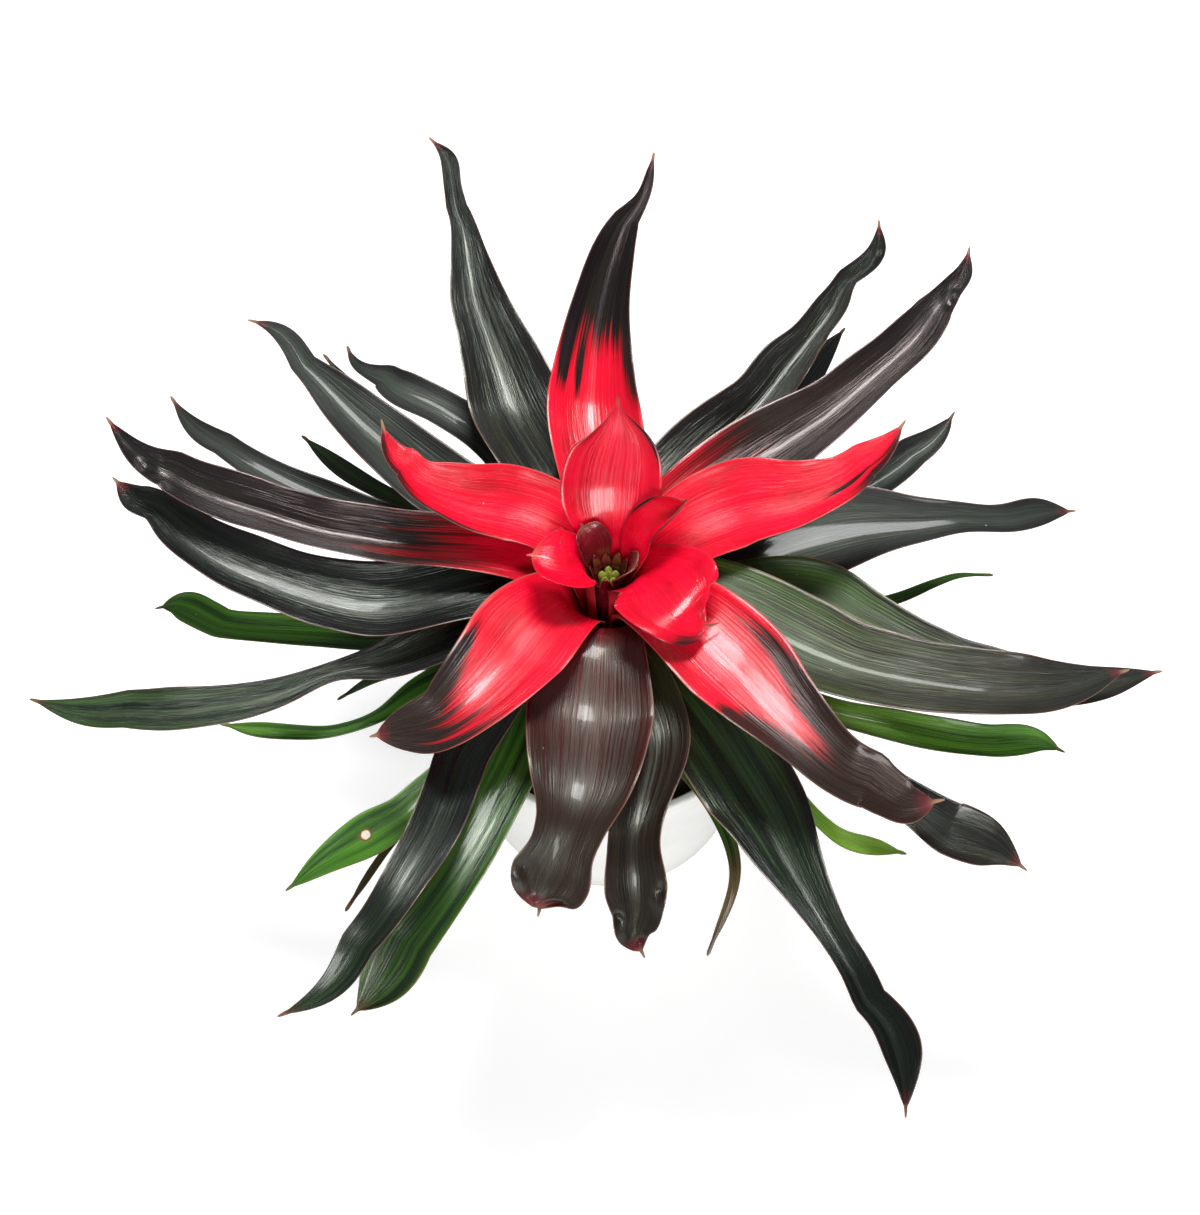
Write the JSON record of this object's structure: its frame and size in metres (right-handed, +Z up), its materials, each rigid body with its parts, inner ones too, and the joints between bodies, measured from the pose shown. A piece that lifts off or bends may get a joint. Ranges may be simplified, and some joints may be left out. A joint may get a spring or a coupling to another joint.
{
  "type": "potted neoregelia bromeliad",
  "caption": "Rosette of arching strap leaves, crimson at the heart and charcoal or green outside, round a central cup with a flower head, growing in a plain round tapered pot.",
  "frame": {"origin": "middle of the pot's flat underside, on the surface that the pot stands on", "axes": "+Z up along the pot's axis and the plant's; -Y towards the plant's front, the side the picture was taken from; +X to the right of someone facing that front"},
  "size_m": [0.4941, 0.4823, 0.2481],
  "materials": {
    "heart_leaf_red": "glossy crimson leaf",
    "leaf_red_and_black": "glossy leaf, crimson near the heart and brown-black outwards",
    "leaf_charcoal": "glossy charcoal leaf with tan edges and red tip",
    "leaf_green": "glossy deep green leaf",
    "bract_maroon": "wet maroon bracts",
    "bud_yellow_green": "waxy yellow-green buds",
    "stem_brown": "dull brown stem",
    "potting_mix": "nearly black fibrous mix",
    "pot_white": "plain off-white plastic"
  },
  "bodies": {
    "root": {"dark_leaf_back": "leaf_charcoal", "dark_leaf_back_right": "leaf_charcoal", "dark_leaf_far_right": "leaf_charcoal", "dark_leaf_front": "leaf_charcoal", "dark_leaf_front_left": "leaf_charcoal", "dark_leaf_front_middle": "leaf_charcoal", "dark_leaf_left": "leaf_charcoal", "dark_leaf_long_front_right": "leaf_charcoal", "dark_leaf_long_left": "leaf_charcoal", "dark_leaf_low_right": "leaf_charcoal", "dark_leaf_low_upper_left": "leaf_charcoal", "dark_leaf_right": "leaf_charcoal", "dark_leaf_thin_left": "leaf_charcoal", "dark_leaf_under_back_right": "leaf_charcoal", "dark_leaf_under_front_left": "leaf_charcoal", "dark_leaf_under_front_right": "leaf_charcoal", "dark_leaf_under_right": "leaf_charcoal", "dark_leaf_under_upper_left": "leaf_charcoal", "dark_leaf_upper_left": "leaf_charcoal", "flower_bracts": "bract_maroon", "flower_buds": "bud_yellow_green", "green_leaf_far_right": "leaf_green", "green_leaf_front": "leaf_green", "green_leaf_front_left": "leaf_green", "green_leaf_front_right": "leaf_green", "green_leaf_left": "leaf_green", "green_leaf_lower_left": "leaf_green", "green_leaf_right": "leaf_green", "green_leaf_small_left": "leaf_green", "green_leaf_upper_left": "leaf_green", "heart_bract_left": "heart_leaf_red", "heart_bract_right": "heart_leaf_red", "heart_leaf_back": "heart_leaf_red", "heart_leaf_front": "heart_leaf_red", "heart_leaf_left": "heart_leaf_red", "heart_leaf_right": "heart_leaf_red", "pot": "pot_white", "red_leaf_back": "leaf_red_and_black", "red_leaf_back_right": "leaf_red_and_black", "red_leaf_front_left": "leaf_red_and_black", "red_leaf_front_right": "leaf_red_and_black", "red_leaf_left": "leaf_red_and_black", "red_leaf_right": "leaf_red_and_black", "red_leaf_upper_left": "leaf_red_and_black", "soil": "potting_mix", "stem": "stem_brown", "withered_leaf_front_left": "leaf_green"}
  },
  "joints": []
}
